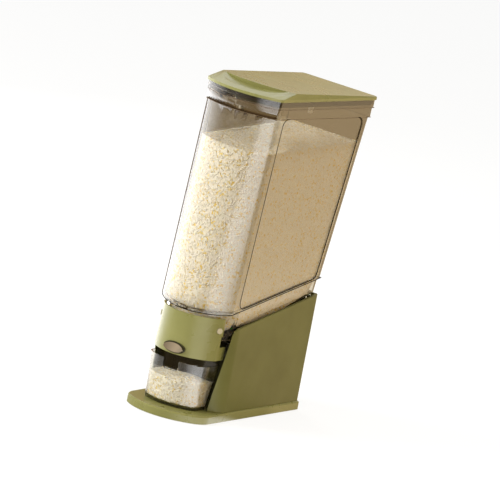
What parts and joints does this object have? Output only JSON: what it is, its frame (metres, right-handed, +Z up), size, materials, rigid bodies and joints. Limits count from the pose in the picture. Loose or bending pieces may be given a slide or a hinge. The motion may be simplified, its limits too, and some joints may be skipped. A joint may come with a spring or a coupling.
{
  "type": "food storage bin",
  "caption": "Leaning clear rice bin on a moulded base, with a tilted lid, a push button outlet gate and a clear measuring cup standing under its spout.",
  "frame": {"origin": "bottom centre of the bounding box, on the table under the middle of the bin", "axes": "+Z up, front with the button and cup towards -Y, +X to the right seen from the front"},
  "size_m": [0.1128, 0.2832, 0.4031],
  "materials": {
    "sage_plastic": "satin moulded ABS, sage green",
    "bay_plastic": "satin moulded ABS, dark olive",
    "nozzle_plastic": "moulded ABS, dark sage",
    "clear_plastic": "polished clear moulded plastic",
    "cup_plastic": "polished clear moulded plastic",
    "tab_plastic": "moulded natural white plastic",
    "seal_silicone": "soft moulded silicone",
    "foot_rubber": "matt moulded rubber",
    "plated_metal": "warm plated cap, polished",
    "screw_steel": "zinc plated steel"
  },
  "bodies": {
    "base": {"base_tray": "sage_plastic", "rubber_feet": "foot_rubber", "base_housing": "sage_plastic", "bay_panel": "bay_plastic", "hopper_pads": "foot_rubber", "base_screws": "screw_steel"},
    "hopper": {"hopper_shell": "clear_plastic", "gate_seal": "seal_silicone", "outlet_nozzle": "nozzle_plastic", "nozzle_screws": "screw_steel", "gate_cover": "sage_plastic", "cover_studs": "clear_plastic", "button_bezel": "bay_plastic", "return_springs": "screw_steel"},
    "button": {"button_cap": "plated_metal", "button_plunger": "nozzle_plastic", "gate_slide": "nozzle_plastic"},
    "lid": {"lid_cover": "sage_plastic", "lid_liner": "nozzle_plastic", "lid_gasket": "seal_silicone", "liner_tabs": "tab_plastic"},
    "cup": {"measuring_cup": "cup_plastic"}
  },
  "joints": [
    {"name": "hopper_lift", "type": "slide", "parent": "base", "child": "hopper", "axis": [0, 0, 1], "range_m": [0, 0.06]},
    {"name": "lid_lift", "type": "slide", "parent": "hopper", "child": "lid", "axis": [0, 0.0668, 0.9978], "range_m": [0, 0.04]},
    {"name": "button_press", "type": "slide", "parent": "hopper", "child": "button", "axis": [0, 1, 0], "range_m": [0, 0.012], "stiffness_N_per_m": 150, "deforming": ["return_springs"]},
    {"name": "cup_pull", "type": "slide", "parent": "base", "child": "cup", "axis": [0, -1, 0], "range_m": [0, 0.06]}
  ]
}
